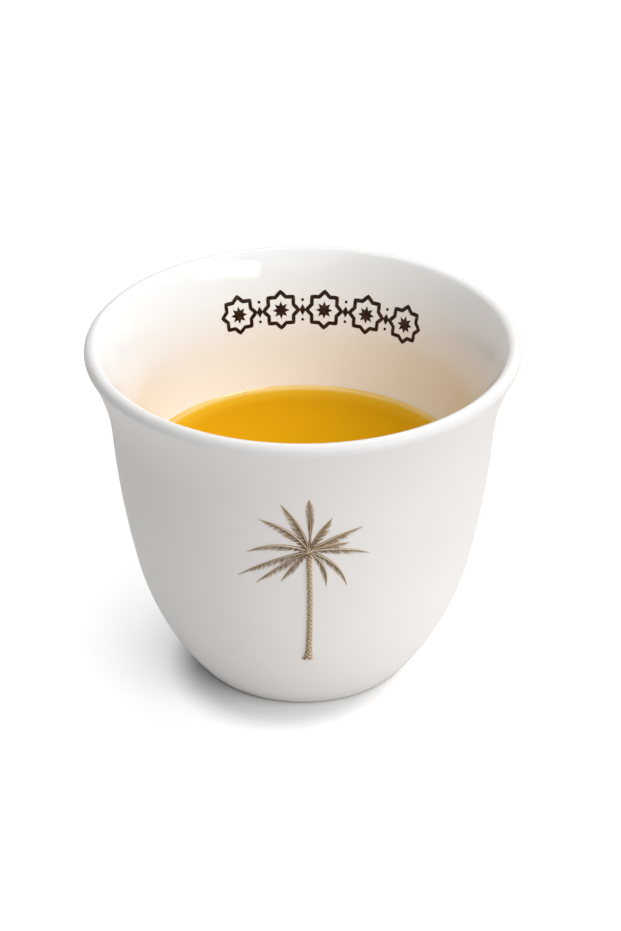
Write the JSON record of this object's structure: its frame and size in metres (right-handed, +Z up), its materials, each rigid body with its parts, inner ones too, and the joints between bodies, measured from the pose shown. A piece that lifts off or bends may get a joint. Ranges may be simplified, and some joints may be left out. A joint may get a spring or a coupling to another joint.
{
  "type": "arabic coffee cup",
  "caption": "Handleless porcelain coffee cup with an S-curved wall, rolled lip and foot ring, a raised date palm on its front, and coffee inside.",
  "frame": {"origin": "middle of the foot's resting plane, on the cup's axis", "axes": "+Z up along the cup's axis, the raised palm faces -Y, +X to the right as the palm is looked at"},
  "size_m": [0.066, 0.066, 0.0548],
  "materials": {
    "porcelain": "warm white porcelain, satin glaze outside, gloss glaze inside, bare foot ring",
    "coffee": "clear golden coffee, wet surface",
    "palm_enamel": "raised beige and brown enamel, satin"
  },
  "bodies": {
    "root": {"cup_body": "porcelain", "coffee": "coffee", "palm_trunk": "palm_enamel", "palm_heart": "palm_enamel", "palm_frond_top": "palm_enamel", "palm_frond_left_1": "palm_enamel", "palm_frond_left_2": "palm_enamel", "palm_frond_left_3": "palm_enamel", "palm_frond_left_4": "palm_enamel", "palm_frond_left_5": "palm_enamel", "palm_frond_left_6": "palm_enamel", "palm_frond_right_1": "palm_enamel", "palm_frond_right_2": "palm_enamel", "palm_frond_right_3": "palm_enamel", "palm_frond_right_4": "palm_enamel", "palm_frond_right_5": "palm_enamel", "palm_frond_right_6": "palm_enamel"}
  },
  "joints": []
}
